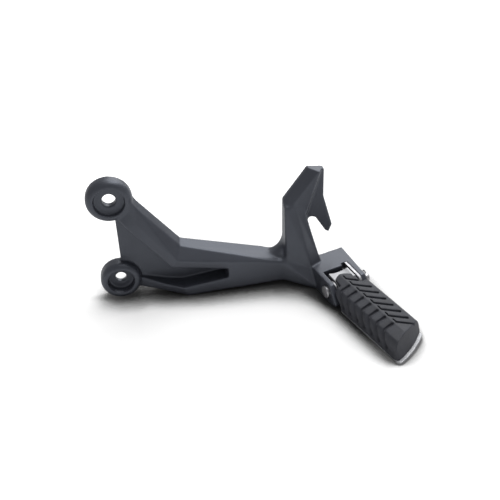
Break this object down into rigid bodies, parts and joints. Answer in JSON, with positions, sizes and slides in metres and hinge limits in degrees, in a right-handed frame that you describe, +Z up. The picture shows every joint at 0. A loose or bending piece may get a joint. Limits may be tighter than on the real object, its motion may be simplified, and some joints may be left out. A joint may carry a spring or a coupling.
{
  "type": "folding foot peg with mounting bracket",
  "caption": "Left passenger foot peg for a motorcycle: a cast bracket with two bolt bosses and a strap hook carries a folding peg with a ribbed rubber tread.",
  "frame": {"origin": "centre of the upper bolt hole, on the face that seats on the motorcycle's frame", "axes": "+X along the bracket from the bolt bosses to the peg, +Y inboard towards the motorcycle, +Z up"},
  "size_m": [0.2486, 0.1387, 0.1127],
  "materials": {
    "black_powder_coat": "satin",
    "bare_cast_aluminium": "satin",
    "black_rubber": "matte",
    "zinc_plated_steel": "satin"
  },
  "bodies": {
    "bracket": {"bracket": "black_powder_coat", "hinge_pin": "zinc_plated_steel", "hinge_washer": "zinc_plated_steel", "split_pin": "zinc_plated_steel", "thrust_shim": "zinc_plated_steel", "disc_spring": "zinc_plated_steel", "click_plate": "zinc_plated_steel"},
    "peg": {"peg_bar": "bare_cast_aluminium", "tread": "black_rubber", "insert_plate": "zinc_plated_steel", "insert_nut_1": "zinc_plated_steel", "insert_nut_2": "zinc_plated_steel", "tread_screw_1": "zinc_plated_steel", "tread_screw_2": "zinc_plated_steel", "screw_washer_1": "zinc_plated_steel", "screw_washer_2": "zinc_plated_steel", "detent_spring": "zinc_plated_steel"},
    "ball": {"detent_ball": "zinc_plated_steel"}
  },
  "joints": [
    {"name": "peg_fold", "type": "hinge", "parent": "bracket", "child": "peg", "pos_m": [0.1853, -0.0462, -0.08305], "axis": [-0.9646, -0.2585, -0.0523], "range_deg": [0, 90]},
    {"name": "ball_slide", "type": "slide", "parent": "peg", "child": "ball", "axis": [0.9646, 0.2585, 0.0523], "range_m": [-0.0012, 0.0003], "stiffness_N_per_m": 400, "deforming": ["detent_spring"]}
  ]
}
